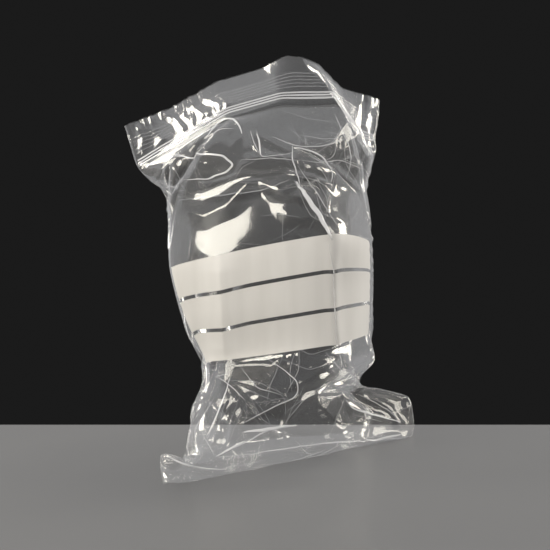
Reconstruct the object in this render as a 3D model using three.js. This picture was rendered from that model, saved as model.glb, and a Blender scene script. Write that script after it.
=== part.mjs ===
// A clear press-to-close film bag with three white write-on panels, zip shut, puffed with air and
// standing on its crumpled bottom. Millimetres, +Z up, front towards -Y.
//
// The film is one closed solid. Its walls are drawn by two material coordinates: `across` runs from the
// left edge to the right edge of the flat bag, and `height` runs from the bottom fold to the lip.

import { BufferGeometry, Float32BufferAttribute, Group, Mesh, MeshStandardMaterial, Vector3 } from "three";
import { Box3, CatmullRomCurve3, MathUtils } from "three";

// The flat bag
const flatWidth = 152;
const heightBelowZip = 229;
const lipHeight = 22;
const filmThickness = 0.05;
const sealWidth = 3;
const bottomFoldGap = 0.25;

// The zip: a dovetail tongue on the back wall, in a hooked channel on the front wall
const trackGap = 1.3;
const trackDepthShare = 0.85;
const tongueNeck = 0.6;
const tongueHead = 1.4;
const trackClearance = 0.18;
const hookWall = 0.75;
const zipMargin = 1;

// The grip ribs on the inner face of the lip
const ribCount = 5;
const ribPitch = 1.9;
const ribWidth = 0.7;
const ribDepth = 0.14;
const firstRibHeight = 5;

// The printed write-on panels on the front wall
const panelNames = ["write_panel_bottom", "write_panel_middle", "write_panel_top"];
const panelHeight = 18;
const panelGap = 2;
const panelSideMargin = 12;
const lowestPanelHeight = 91;
const inkThickness = 0.03;
const inkClearance = 0.03;

// How finely the walls are faceted
const panelColumns = 14;
const rowStep = 8;
const rowSamples = 96;

// The stance: where the seams and the crests of both walls stand, measured on a bag of this size
const stanceWidth = 152;
const stanceHeight = 229;

// Each station is [height, left seam, right seam, front crest, back crest, crest share, fullness].
// The crest share is how far across the front crest lies, and the fullness is how boxy the section is.
const stations = [
  [0, [-57, -42, 0], [66, 35, 0], [4, -3, 0], [4, -3, 0], 0.5, 6],
  [14, [-57, -40, 14], [69, 36, 12], [5, -14, 13], [-1, 10, -6], 0.5, 3],
  [26, [-50, -33, 13], [66, 37, 25], [5, -20, 24], [-7, 22, -8], 0.5, 2.4],
  [44, [-43, -18, 12], [52, 28, 32], [3, -24, 38], [-12, 38, -3], 0.5, 2.1],
  [62, [-42, -4, 24], [43, 24, 38], [2, -23, 49], [-12, 46, 14], 0.5, 2.0],
  [78, [-38, 9, 38], [46, 34, 47], [25, -22, 55], [-10, 47, 34], 0.64, 1.6],
  [91, [-36, 15, 48], [49, 42, 56], [29, -21, 66], [-9, 49, 50], 0.68, 1.5],
  [120, [-46, 8, 74], [50, 35, 84], [27, -25, 94], [-8, 51, 82], 0.72, 1.4],
  [149, [-53, 3, 101], [49, 25, 111], [28, -27, 122], [-7, 49, 113], 0.74, 1.4],
  [190, [-55, 1, 136], [44, 22, 140], [6, -28, 158], [-4, 34, 152], 0.55, 2.0],
  [229, [-69, 8, 153], [50, 20, 163], [4, -6, 190], [0, 4, 188], 0.5, 2.0],
];

// The shut zip and the free lip edge bend in flats
const zipBends = [
  [-69, 8, 152.5], [-45, 4, 167.5], [-23.5, 0, 181], [3, -4, 189.2],
  [28.6, -6, 190], [37, 5, 175.7], [42.7, 12, 167.3], [50.2, 22, 162.8],
];
const lipBends = [
  [-75, 21, 169.6], [-52.4, 21, 178.4], [-27.2, 17.5, 193], [-6.5, 12, 200],
  [13.2, 5, 206.6], [32.8, 17, 189.5], [52.4, 31, 181],
];
const blendStartHeight = 150;
const mouthFullness = 6;

const widthScale = flatWidth / stanceWidth;
const stanceScale = new Vector3(widthScale, widthScale, heightBelowZip / stanceHeight);
const totalHeight = heightBelowZip + lipHeight;
const floorLevel = filmThickness;
const foldLevel = floorLevel + bottomFoldGap;

function stancePoint(coordinates) {
  return new Vector3(...coordinates).multiply(stanceScale);
}

// A value of the station table at any height, by cubic steps through the stations around it.
function stationValue(column, component, height) {
  const heights = stations.map((station) => station[0] * heightBelowZip / stanceHeight);
  const value = (index) => {
    const entry = stations[index][column];
    return component === null ? entry : entry[component];
  };
  const last = heights.length - 1;
  const next = Math.min(Math.max(heights.findIndex((h) => h > height), 1), last);
  const from = height >= heights[last] ? last - 1 : next - 1;
  const to = from + 1;
  const slope = (index) => {
    const low = Math.max(index - 1, 0);
    const high = Math.min(index + 1, last);
    return (value(high) - value(low)) / (heights[high] - heights[low]);
  };
  const span = heights[to] - heights[from];
  const x = Math.min((height - heights[from]) / span, 1);
  const start = (2 * x ** 3 - 3 * x ** 2 + 1) * value(from) + (x ** 3 - 2 * x ** 2 + x) * span * slope(from);
  const end = (3 * x ** 2 - 2 * x ** 3) * value(to) + (x ** 3 - x ** 2) * span * slope(to);
  return start + end;
}

function railPoint(column, height) {
  return stancePoint([0, 1, 2].map((component) => stationValue(column, component, height)));
}

// Where the columns of both walls lie across the flat bag: edge, seal, shoulder, panel, and back again.
function columnPositions() {
  const edge = [0, sealWidth, (sealWidth + panelSideMargin) / 2];
  const printed = flatWidth - 2 * panelSideMargin;
  const place = (_, i) => panelSideMargin + printed * i / panelColumns;
  const middle = Array.from({ length: panelColumns + 1 }, place);
  return [...edge, ...middle, ...edge.map((across) => flatWidth - across).reverse()];
}

const columns = columnPositions();
const lastColumn = columns.length - 1;
const leftPinch = 1;
const rightPinch = lastColumn - 1;
const cavityShares = columns.map((across) => (across - sealWidth) / (flatWidth - 2 * sealWidth));

// How full the section is at a share of the way from one end to its crest, from 0 at the end to 1.
function swell(share, fullness) {
  return (1 - (1 - MathUtils.clamp(share, 0, 1)) ** fullness) ** (1 / fullness);
}

// One wall's lens-shaped row at a height, in equal steps along its own arc, with the seals beside it.
function bodyRow(side, height) {
  const leftEdge = railPoint(1, height);
  const rightEdge = railPoint(2, height);
  const inward = rightEdge.clone().sub(leftEdge).setLength(sealWidth);
  const left = leftEdge.clone().add(inward);
  const right = rightEdge.clone().sub(inward);
  const crest = railPoint(side === "front" ? 3 : 4, height);
  const crestShare = side === "front" ? stationValue(5, null, height) : 0.5;
  const fullness = stationValue(6, null, height);
  const lift = crest.sub(left.clone().lerp(right, crestShare));
  const points = [];
  for (let i = 0; i <= rowSamples; i += 1) {
    const chord = (1 - Math.cos(Math.PI * i / rowSamples)) / 2;
    const share = chord < crestShare ? chord / crestShare : (1 - chord) / (1 - crestShare);
    points.push(left.clone().lerp(right, chord).addScaledVector(lift, swell(share, fullness)));
  }
  const lengths = [0];
  for (let i = 1; i <= rowSamples; i += 1) {
    lengths.push(lengths[i - 1] + points[i].distanceTo(points[i - 1]));
  }
  const along = (share) => {
    const target = share * lengths[rowSamples];
    const next = Math.max(lengths.findIndex((length) => length >= target - 1e-9), 1);
    const part = (target - lengths[next - 1]) / (lengths[next] - lengths[next - 1]);
    return points[next - 1].clone().lerp(points[next], part);
  };
  return columns.map((_, j) => {
    if (j === 0) return leftEdge;
    if (j === lastColumn) return rightEdge;
    return along(MathUtils.clamp(cavityShares[j], 0, 1));
  });
}

const zipCurve = new CatmullRomCurve3(zipBends.map(stancePoint), false, "centripetal");
const lipCurve = new CatmullRomCurve3(lipBends.map(stancePoint), false, "centripetal");

// The flat sheet above and below the zip, straight up through the zip line and the lip edge.
function mouthSheet(column, height) {
  const share = columns[column] / flatWidth;
  const zip = zipCurve.getPointAt(share);
  const rise = lipCurve.getPointAt(share).sub(zip).divideScalar(lipHeight);
  const normal = rise.clone().cross(zipCurve.getTangentAt(share)).normalize();
  return { middle: zip.addScaledVector(rise, height - heightBelowZip), backward: normal.negate() };
}

function trackGapAt(column) {
  const share = MathUtils.clamp(cavityShares[column], 0, 1);
  return trackGap * swell(Math.min(share, 1 - share) * 2, mouthFullness);
}

const channelHalf = tongueNeck / 2 + (tongueHead - tongueNeck) / 2 / trackDepthShare + trackClearance;
const trackHalf = channelHalf + hookWall;
const blendEndHeight = heightBelowZip - trackHalf - zipMargin;

// The inner face of one wall at a height, at every column: the puffed body blends into the flat mouth.
const rowCache = new Map();
function wallRow(side, height) {
  const key = `${side} ${height}`;
  if (!rowCache.has(key)) {
    const start = blendStartHeight * heightBelowZip / stanceHeight;
    const blend = MathUtils.smoothstep(height, start, blendEndHeight);
    const body = bodyRow(side, Math.min(height, heightBelowZip));
    const row = body.map((point, j) => {
      const sheet = mouthSheet(j, height);
      const offset = trackGapAt(j) / 2 * (side === "front" ? -1 : 1);
      point.lerp(sheet.middle.addScaledVector(sheet.backward, offset), blend);
      const lowest = side === "front" && j > leftPinch && j < rightPinch ? foldLevel : floorLevel;
      point.z = Math.max(point.z, lowest);
      return point;
    });
    rowCache.set(key, row);
  }
  return rowCache.get(key);
}

function stepsBetween(from, to) {
  const count = Math.ceil((to - from) / rowStep);
  return Array.from({ length: count }, (_, i) => from + (to - from) * i / count);
}

const panelEdges = panelNames.flatMap((_, i) => {
  const low = lowestPanelHeight + i * (panelHeight + panelGap);
  return [low, low + panelHeight];
});

// A row is the height of the outer face with the height and depth of the relief on both inner faces.
// A depth is `share` of the gap between the walls and `rise` in millimetres.
function plainRow(height) {
  return { height, front: { height, share: 0, rise: 0 }, back: { height, share: 0, rise: 0 } };
}

function trackRows() {
  const neck = tongueNeck / 2;
  const head = tongueHead / 2;
  const hookTip = neck + (head - neck) * (1 - trackDepthShare) / trackDepthShare + trackClearance;
  const channelFoot = trackHalf - hookWall;
  const hookRise = [[trackHalf, 0], [hookTip + hookWall, trackDepthShare]];
  const hook = [...hookRise, [hookTip, trackDepthShare], [channelFoot, 0]];
  const tongue = [[trackHalf, 0], [channelFoot, 0], [neck, 0], [head, trackDepthShare]];
  const outer = [trackHalf, trackHalf * 0.75, trackHalf * 0.5, trackHalf * 0.25];
  const half = outer.map((offset, i) => ({ offset, hook: hook[i], tongue: tongue[i] }));
  const row = (entry, sign) => ({
    height: heightBelowZip + sign * entry.offset,
    front: { height: heightBelowZip + sign * entry.hook[0], share: entry.hook[1], rise: 0 },
    back: { height: heightBelowZip + sign * entry.tongue[0], share: entry.tongue[1], rise: 0 },
  });
  return [...half.map((entry) => row(entry, -1)), ...half.reverse().map((entry) => row(entry, 1))];
}

function ribRows() {
  const rows = [];
  for (let i = 0; i < ribCount; i += 1) {
    const centre = heightBelowZip + firstRibHeight + i * ribPitch;
    for (const side of [-1, 0, 1]) {
      const row = plainRow(centre + side * ribWidth / 2);
      row.front.rise = side === 0 ? ribDepth : 0;
      row.back.rise = row.front.rise;
      rows.push(row);
    }
  }
  return rows;
}

function filmRows() {
  const marks = [0, ...panelEdges, blendEndHeight];
  const heights = marks.slice(1).flatMap((mark, i) => stepsBetween(marks[i], mark));
  return [...[...heights, blendEndHeight].map(plainRow), ...trackRows(), ...ribRows(), plainRow(totalHeight)];
}

const rows = filmRows();
const lastRow = rows.length - 1;

// A growing closed surface: points by number, and quads whose two triangles keep one turning sense.
class Surface {
  constructor() {
    this.points = [];
    this.triangles = [];
  }

  add(point) {
    this.points.push(point);
    return this.points.length - 1;
  }

  triangle(a, b, c) {
    if (a !== b && b !== c && c !== a) this.triangles.push([a, b, c]);
  }

  quad(a, b, c, d) {
    this.triangle(a, b, c);
    this.triangle(a, c, d);
  }

  geometry() {
    const geometry = new BufferGeometry();
    geometry.setAttribute("position", new Float32BufferAttribute(this.points.flatMap((p) => p.toArray()), 3));
    geometry.setIndex(this.triangles.flat());
    geometry.computeVertexNormals();
    return geometry;
  }
}

// Moves every listed point outwards so that each face around it moves by the distance given.
function offsetOutwards(surface, distance) {
  const around = surface.points.map(() => []);
  for (const triangle of surface.triangles) {
    const [a, b, c] = triangle.map((index) => surface.points[index]);
    const normal = b.clone().sub(a).cross(c.clone().sub(a));
    if (normal.length() < 1e-6) continue;
    triangle.forEach((index) => around[index].push(normal.clone().normalize()));
  }
  return surface.points.map((point, index) => {
    const mean = around[index].reduce((sum, normal) => sum.add(normal), new Vector3()).normalize();
    const least = Math.min(...around[index].map((normal) => normal.dot(mean)));
    const moved = point.clone().addScaledVector(mean, distance / Math.max(least, 0.5));
    moved.z = point.z <= floorLevel ? 0 : Math.max(moved.z, 0);
    return moved;
  });
}

// The outer faces of both walls, the seal edges and the bottom fold, drawn on the inner faces first.
function outerShell(surface) {
  const addRow = (side, row) => wallRow(side, row.height).map((point) => surface.add(point.clone()));
  const grid = (side) => rows.map((row) => addRow(side, row));
  const front = grid("front");
  const back = grid("back");
  for (let k = 0; k < lastRow; k += 1) {
    for (let j = 0; j < lastColumn; j += 1) {
      surface.quad(front[k][j], front[k][j + 1], front[k + 1][j + 1], front[k + 1][j]);
      surface.quad(back[k][j], back[k + 1][j], back[k + 1][j + 1], back[k][j + 1]);
    }
  }
  for (let j = 0; j < lastColumn; j += 1) {
    surface.quad(front[0][j + 1], front[0][j], back[0][j], back[0][j + 1]);
  }
  return { front, back };
}

function closeSealEdges(surface, { front, back }) {
  for (let k = 0; k < lastRow; k += 1) {
    surface.quad(front[k][0], front[k + 1][0], back[k + 1][0], back[k][0]);
    surface.quad(front[k + 1][lastColumn], front[k][lastColumn], back[k][lastColumn], back[k + 1][lastColumn]);
  }
}

// A point of one inner face, with the zip track or rib that stands on it there.
function innerPoint(side, row, column) {
  const relief = row[side];
  const point = wallRow(side, relief.height)[column].clone();
  const gap = trackGapAt(column);
  const depth = relief.share * gap + relief.rise * gap / trackGap;
  const inward = mouthSheet(column, relief.height).backward.multiplyScalar(side === "front" ? 1 : -1);
  return point.addScaledVector(inward, depth);
}

function innerShell(surface) {
  const front = [];
  const back = [];
  for (const row of rows) {
    const frontRow = [];
    const backRow = [];
    for (let j = leftPinch; j <= rightPinch; j += 1) {
      const pinched = j === leftPinch || j === rightPinch;
      const place = pinched ? wallRow("front", row.height)[j].clone() : innerPoint("front", row, j);
      frontRow[j] = surface.add(place);
      backRow[j] = pinched ? frontRow[j] : surface.add(innerPoint("back", row, j));
    }
    front.push(frontRow);
    back.push(backRow);
  }
  for (let k = 0; k < lastRow; k += 1) {
    for (let j = leftPinch; j < rightPinch; j += 1) {
      surface.quad(front[k][j], front[k + 1][j], front[k + 1][j + 1], front[k][j + 1]);
      surface.quad(back[k][j], back[k][j + 1], back[k + 1][j + 1], back[k + 1][j]);
    }
  }
  for (let j = leftPinch; j < rightPinch; j += 1) {
    surface.quad(front[0][j], front[0][j + 1], back[0][j + 1], back[0][j]);
  }
  return { front, back };
}

// The cut edge of the film all round the mouth.
function mouthRim(surface, outer, inner) {
  const [front, back, f, b] = [outer.front, outer.back, inner.front, inner.back].map((grid) => grid[lastRow]);
  for (let j = leftPinch; j < rightPinch; j += 1) {
    surface.quad(front[j], front[j + 1], f[j + 1], f[j]);
    surface.quad(back[j + 1], back[j], b[j], b[j + 1]);
  }
  surface.triangle(front[0], front[1], f[1]);
  surface.triangle(front[0], f[1], back[0]);
  surface.triangle(f[1], back[1], back[0]);
  surface.triangle(front[rightPinch], front[lastColumn], f[rightPinch]);
  surface.triangle(front[lastColumn], back[lastColumn], f[rightPinch]);
  surface.triangle(back[lastColumn], back[rightPinch], f[rightPinch]);
}

function bagFilm() {
  const surface = new Surface();
  const outer = outerShell(surface);
  surface.points = offsetOutwards(surface, filmThickness);
  closeSealEdges(surface, outer);
  const inner = innerShell(surface);
  mouthRim(surface, outer, inner);
  return surface.geometry();
}

// One printed field: a skin of ink that follows the facets of the front wall.
function writePanel(low, high) {
  const printedRows = rows.filter((row) => row.height >= low - 1e-6 && row.height <= high + 1e-6);
  const sheet = new Surface();
  const first = columns.findIndex((across) => across >= panelSideMargin - 1e-6);
  const printedColumns = columns.map((_, j) => j).slice(first, columns.length - first);
  const addRow = (row) => printedColumns.map((j) => sheet.add(wallRow("front", row.height)[j]));
  const grid = printedRows.map(addRow);
  const top = grid.length - 1;
  const side = printedColumns.length - 1;
  for (let k = 0; k < top; k += 1) {
    for (let j = 0; j < side; j += 1) {
      sheet.quad(grid[k][j], grid[k][j + 1], grid[k + 1][j + 1], grid[k + 1][j]);
    }
  }
  const under = offsetOutwards(sheet, filmThickness + inkClearance);
  const over = offsetOutwards(sheet, filmThickness + inkClearance + inkThickness);
  const surface = new Surface();
  surface.points = [...over, ...under];
  const below = (index) => index + over.length;
  surface.triangles = sheet.triangles.flatMap(([a, b, c]) => [[a, b, c], [below(a), below(c), below(b)]]);
  const border = [
    ...grid[0].slice(0, side),
    ...grid.slice(0, top).map((row) => row[side]),
    ...grid[top].slice(1).reverse(),
    ...grid.slice(1).map((row) => row[0]).reverse(),
  ];
  border.forEach((from, i) => {
    const to = border[(i + 1) % border.length];
    surface.quad(to, from, below(from), below(to));
  });
  return surface.geometry();
}

const clearFilm = new MeshStandardMaterial({ color: 0xdde2e6, roughness: 0.12, metalness: 0 });
clearFilm.transparent = true;
clearFilm.opacity = 0.35;
const whiteInk = new MeshStandardMaterial({ color: 0xe2dfda, roughness: 0.6, metalness: 0 });

const bag = new Group();
const film = new Mesh(bagFilm(), clearFilm);
film.name = "bag_film";
bag.add(film);
panelNames.forEach((name, i) => {
  const panel = new Mesh(writePanel(panelEdges[2 * i], panelEdges[2 * i + 1]), whiteInk);
  panel.name = name;
  bag.add(panel);
});

// The origin is on the floor under the middle of the bag's box.
const middle = new Box3().setFromObject(bag).getCenter(new Vector3());
bag.position.set(-middle.x, -middle.y, 0);

export default bag;
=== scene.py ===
import math

import bpy
import numpy as np
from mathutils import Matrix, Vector


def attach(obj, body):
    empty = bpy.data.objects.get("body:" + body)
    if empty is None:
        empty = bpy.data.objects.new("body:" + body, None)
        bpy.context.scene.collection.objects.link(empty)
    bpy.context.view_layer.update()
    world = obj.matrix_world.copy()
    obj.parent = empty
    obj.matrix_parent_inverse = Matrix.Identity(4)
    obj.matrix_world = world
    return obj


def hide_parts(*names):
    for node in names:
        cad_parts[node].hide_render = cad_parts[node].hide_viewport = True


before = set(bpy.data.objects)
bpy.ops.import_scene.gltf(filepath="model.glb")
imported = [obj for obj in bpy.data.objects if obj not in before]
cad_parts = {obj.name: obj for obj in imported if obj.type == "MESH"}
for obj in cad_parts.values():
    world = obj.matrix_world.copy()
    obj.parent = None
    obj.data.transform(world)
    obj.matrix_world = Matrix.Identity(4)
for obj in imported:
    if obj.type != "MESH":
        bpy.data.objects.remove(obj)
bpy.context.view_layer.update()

# The flat bag, in millimetres: `across` runs from its left edge, `height` from its bottom fold.
FLAT_WIDTH = 152.0
BELOW_ZIP = 229.0
LIP_HEIGHT = 22.0
FLAT_HEIGHT = BELOW_ZIP + LIP_HEIGHT
SEAL_WIDTH = 3.0
ZIP_HALF_BAND = 2.5
PANEL_HEIGHT = 18.0
PANEL_GAP = 2.0
PANEL_SIDE_MARGIN = 12.0
LOWEST_PANEL = 91.0
RIB_COUNT = 5
RIB_PITCH = 1.9
FIRST_RIB = 5.0
RIB_MARGIN = 2.0
RIB_LIFT = 0.35
RIB_HALF_SIZE = (0.22, 0.16)
# The zip's bars: the place above the zip line, how far out of the front wall, half width and half height.
ZIP_BARS = (
    (-1.7, 0.5, 0.42, 0.3),
    (0, 0.55, 0.36, 0.3),
    (1.7, 0.5, 0.42, 0.3),
    (-0.8, -0.45, 0.3, 0.25),
    (0.8, -0.45, 0.3, 0.25),
)
ZIP_MARGIN = 1.5
BAR_POINTS = 300
SEAL_BEAD_HALF_SIZE = 0.16
INK_LIFT = 0.08
PANEL_POINTS_ACROSS = 129

# The stance is worked out about the spot under the camera's target. This is that spot's place in the frame.
STANCE_SHIFT = np.array([3.005, -4.466, 0.0])
MM = 0.001

# The camera of the photograph, in the stance's millimetres.
ELEVATION = math.radians(15)
CAMERA_DISTANCE = 1000.0
CAMERA_TARGET = np.array([0.0, 0.0, 98.0])
PIXELS_PER_MM = 2.0
PHOTO_SIZE = 550
CAMERA_UP = np.array([0.0, math.sin(ELEVATION), math.cos(ELEVATION)])
TOWARDS_CAMERA = np.array([0.0, -math.cos(ELEVATION), math.sin(ELEVATION)])

# The construction model's stations: height, left seam, right seam, front crest, back crest, the front crest's
# share of the way across, and how full the section is.
STATIONS = (
    (0, (-57, -42, 0), (68, 35, 0), (4, -5, 0), (4, -3, 0), 0.5, 3),
    (14, (-57, -40, 14), (71, 36, 11.5), (4, -16, 9), (-1, 9, -4), 0.5, 2),
    (26, (-50, -33, 13), (69, 38, 25), (3, -26, 18), (-5, 20, -5), 0.5, 1.7),
    (44, (-43, -18, 12), (52, 28, 32), (2, -31, 33), (-9, 32, 6), 0.5, 1.5),
    (62, (-42, -4, 24), (43, 24, 38), (2, -28, 46), (-10, 42, 25), 0.5, 1.5),
    (78, (-38, 9, 38), (46, 34, 47), (25, -22, 56), (-10, 47, 42), 0.64, 1.6),
    (91, (-36, 15, 48), (49, 42, 55.5), (29, -21, 68), (-9, 49, 55), 0.68, 1.4),
    (120, (-46, 8, 74), (50, 35, 82.5), (27, -25, 97), (-8, 51, 85), 0.72, 1.4),
    (149, (-53, 3, 101), (49, 25, 107.5), (28, -27, 126), (-7, 49, 114), 0.74, 1.35),
    (190, (-55, 12, 136), (44, 26, 140), (8, -16, 160), (-4, 38, 152), 0.55, 1.5),
    (229, (-69, 8, 153), (50, 17, 164), (4, -6, 190), (0, 4, 188), 0.5, 2.0),
)
# The shut zip and the lip edge bend in flats: across, then the place.
ZIP_BENDS = (
    (0, (-69, 8, 152.5)), (30, (-45, 4, 167.5)), (54.7, (-23.5, 0, 181)), (82, (3, -4, 189.2)),
    (107, (28.6, -6, 190)), (126, (37, 5, 175.7)), (137, (42.7, 12, 167.3)), (152, (50.2, 22, 162.8)),
)
LIP_BENDS = (
    (0, (-75, 21, 169.6)), (28, (-52.4, 21, 178.4)), (54.7, (-27.2, 17.5, 193)), (78, (-6.5, 12, 200)),
    (91, (4.9, 8, 207)), (101, (13.2, 5, 206.6)), (112, (21, 10, 202.5)), (127, (32.8, 17, 189.5)),
    (152, (52.4, 31, 181)),
)
# Beside the printed fields the film turns back this far to the left seam: height, millimetres.
LEFT_TUCK = ((0, 0), (62, 0), (80, 8), (95, 11), (149, 11), (185, 4), (215, 0), (251, 0))
TUCK_WAY = np.array([0.1, 1.0, 0.0])
LEAST_TUCK = 0.5
BACK_CREST_SHARE = 0.5
BACK_LEAST_FULLNESS = 2.2
SECTION_POINTS = 97
# Between these heights the puffed sections blend into the flat mouth.
BLEND_START = 192.0
BLEND_END = 226.0

# Where the edges of the bag show in the photograph: height or across, pixel x, pixel y, and a chosen depth in
# millimetres.
LEFT_SEAM = (
    (0, 163, 484, -40), (15, 162, 455, -38), (38, 195, 463, -25), (49, 187, 446, -15), (61, 191, 424, -5),
    (71, 190, 405, 4), (86, 209, 380, 20), (93, 207, 364, 26), (114, 188, 334, 21), (149, 170, 268, 14),
    (170, 171, 232, 14), (190, 168, 203, 15), (203, 160, 187, 12), (213, 149, 180, 9), (229, 137, 165, 8),
    (240, 130, 143, 15), (251, 125, 126, 21),
)
RIGHT_SEAM = (
    (0, 408, 447, 35), (12, 414, 425, 36), (23, 410, 399, 38), (26, 407, 396, 38),
    (40, 380, 389, 30), (50, 362, 386, 24), (62, 361, 376, 22),
    (76, 374, 360, 34), (91, 371, 339, 42), (120, 373, 290, 35), (149, 372, 247, 25), (175, 366, 195, 20),
    (200, 374, 158, 14), (215, 376, 148, 15), (229, 375, 139, 17), (240, 377, 119, 24), (251, 379, 100, 30),
)
BOTTOM_FOLD = (
    (0, 163, 484, -40), (65, 277, 471, -13), (93, 312, 461, 8), (109, 342, 458, 12), (138, 387, 451, 28),
    (152, 408, 447, 35),
)

# The outline of the bag in the photograph: pixel y, left pixel x, right pixel x.
OUTLINE = (
    (130, 124, 379), (142, 128, 377), (154, 131, 375),
    (166, 136, 371), (178, 149, 367), (190, 162, 368), (202, 165, 369), (226, 168, 373), (262, 166, 375),
    (286, 172, 374), (310, 179, 374), (334, 186, 375), (358, 200, 376), (370, 205, 369), (382, 209, 363),
    (388, 208, 373), (394, 207, 401), (406, 199, 410), (418, 191, 413), (430, 189, 414), (446, 188, 409),
    (455, 162, 402), (484, 155, 350),
)

# Creases pressed into the film: the wall, half width and height in millimetres, and pixels along each.
CREASES = (
    ("front", 4.2, 1.6, ((204, 137), (212, 126), (222, 118), (232, 118), (239, 124), (243, 133))),
    ("front", 2.8, 0.7, ((206, 138), (220, 129), (235, 128))),
    (
        "front", 4.2, 1.5,
        ((168, 154), (190, 158), (210, 154), (222, 155), (234, 165), (226, 173), (205, 179), (186, 179)),
    ),
    ("front", 3.8, 1.0, ((165, 185), (185, 188), (205, 184), (221, 177))),
    ("front", 2.4, 0.7, ((250, 130), (255, 145), (261, 156))),
    ("front", 2.4, 0.7, ((257, 130), (259, 143), (261, 157), (285, 154), (300, 150))),
    ("front", 4.7, 1.4, ((292, 146), (293, 160), (297, 175), (302, 190))),
    ("front", 5.8, 1.8, ((295, 180), (306, 196), (318, 213), (331, 240))),
    ("front", 8.0, 1.9, ((150, 196), (176, 206), (205, 216), (228, 205), (250, 182), (270, 165))),
    ("front", 3.8, 0.9, ((272, 136), (290, 144), (313, 147), (335, 143), (352, 136))),
    ("front", 2.8, 0.8, ((294, 147), (310, 150), (325, 158), (333, 172), (330, 186))),
    ("front", 2.8, 0.7, ((298, 166), (315, 190), (330, 214), (342, 232))),
    ("front", 2.8, 0.8, ((335, 113), (341, 130), (348, 142), (352, 158), (346, 180))),
    ("front", 2.8, 0.7, ((302, 160), (322, 163), (340, 160), (366, 170))),
    ("back", 3.8, 1.0, ((372, 150), (352, 180), (346, 205), (352, 235))),
    ("back", 3.8, 0.9, ((180, 200), (215, 196), (262, 190), (290, 180))),
    ("back", 3.8, 0.9, ((240, 160), (270, 158), (300, 160))),
    ("front", 3.8, 1.1, ((216, 377), (226, 382), (236, 390), (245, 401))),
    ("front", 2.8, 0.9, ((216, 377), (230, 373))),
    ("front", 3.3, 1.0, ((230, 377), (225, 395), (218, 412), (207, 439))),
    (
        "front", 3.8, 1.2,
        ((266, 358), (284, 370), (296, 380), (299, 389), (296, 397), (280, 404), (262, 413), (240, 425)),
    ),
    ("front", 2.8, 0.7, ((240, 366), (257, 388), (272, 392), (284, 396))),
    ("front", 2.8, 0.7, ((325, 352), (338, 366), (350, 380))),
    ("front", 3.8, 1.1, ((363, 384), (352, 392), (344, 402), (352, 408), (375, 415), (400, 422))),
    ("front", 2.8, 0.7, ((358, 394), (378, 404), (404, 422))),
    ("front", 5.0, 1.9, ((217, 456), (235, 447), (250, 440), (265, 431), (280, 427), (297, 425))),
    ("front", 4.6, 1.6, ((217, 457), (250, 454), (290, 448), (325, 443), (365, 441), (402, 438))),
    ("front", 2.8, 0.7, ((277, 471), (295, 462), (307, 456), (325, 450))),
    ("front", 2.8, 0.7, ((296, 441), (303, 450), (313, 456))),
    ("back", 3.8, 1.0, ((214, 398), (204, 415), (194, 430), (197, 446), (204, 460))),
    ("front", 2.8, 0.9, ((203, 436), (209, 444), (214, 456))),
    ("front", 3.8, 1.2, ((165, 455), (176, 461), (199, 468), (222, 470), (237, 463))),
    ("front", 14.0, 2.4, ((220, 245), (223, 290), (225, 330), (228, 372))),
    ("front", 5.2, 1.3, ((329, 240), (333, 262), (334, 290), (335, 320), (338, 350), (347, 378))),
)

# Hard folds, the narrow milky bands along some creases, partly film whitened at a hard fold and partly a
# painted highlight along it: half width in millimetres, and pixels along each.
HARD_FOLDS = (
    (1.2, ((297, 181), (306, 196), (318, 213), (326, 227), (333, 240))),
    (0.6, ((206, 138), (214, 127), (223, 119), (232, 118), (239, 125), (243, 134))),
    (0.5, ((170, 154), (190, 158), (210, 154), (222, 155), (234, 165), (226, 173), (205, 179), (186, 179))),
    (0.8, ((243, 432), (262, 430), (280, 427), (298, 425))),
    (0.7, ((366, 441), (385, 438), (403, 434))),
    (0.5, ((216, 456), (226, 451), (237, 445), (246, 440))),
    (0.45, ((230, 378), (225, 395), (218, 412), (207, 437))),
    (0.45, ((346, 400), (352, 408), (375, 415), (400, 422))),
    (0.6, ((166, 456), (176, 461), (199, 468), (222, 470), (236, 464))),
    (0.45, ((294, 147), (310, 150), (325, 158), (333, 172), (331, 184))),
    (0.4, ((257, 132), (259, 143), (261, 156))),
)

# Smaller random creases: the wall, how many, the middle and the spread in pixels, the slope and its spread in
# degrees, and the length in pixels that the halves of each are a share of.
CRUMPLES = (
    ("front", 26, (340, 175), (18, 42), 65, 35, 45),
    ("front", 14, (316, 150), (18, 20), 20, 40, 32),
    ("front", 4, (200, 165), (28, 22), 10, 30, 40),
    ("front", 10, (285, 395), (55, 25), -25, 40, 50),
    ("front", 5, (208, 418), (9, 24), 112, 12, 80),
    ("front", 7, (300, 448), (75, 10), -8, 8, 90),
    ("front", 6, (385, 405), (16, 10), 20, 25, 40),
    ("back", 24, (270, 190), (70, 55), 0, 60, 60),
    ("back", 24, (290, 415), (70, 35), 0, 50, 60),
)
# The same across the lip, where both walls move together.
LIP_CRUMPLES = (
    ("front", 8, (150, 135), (10, 6), 62, 14, 30),
    ("front", 10, (185, 115), (14, 6), 62, 14, 34),
    ("front", 7, (215, 95), (10, 5), 66, 14, 34),
    ("front", 3, (322, 78), (6, 6), 55, 12, 34),
    ("front", 9, (363, 110), (8, 6), 88, 10, 34),
)
CRUMPLE_SEED = 8
CRUMPLE_BEND_SPREAD = 25
CRUMPLE_HALF_LENGTHS = (0.3, 0.8)
CRUMPLE_HALF_WIDTHS = (2.0, 4.5)
CRUMPLE_STEEPNESS = (0.15, 0.32)
# A crease is sharp at its line, and its ends taper over this share of its length.
CREASE_SHARPNESS = 1.4
CREASE_TAPER = 0.2

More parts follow.
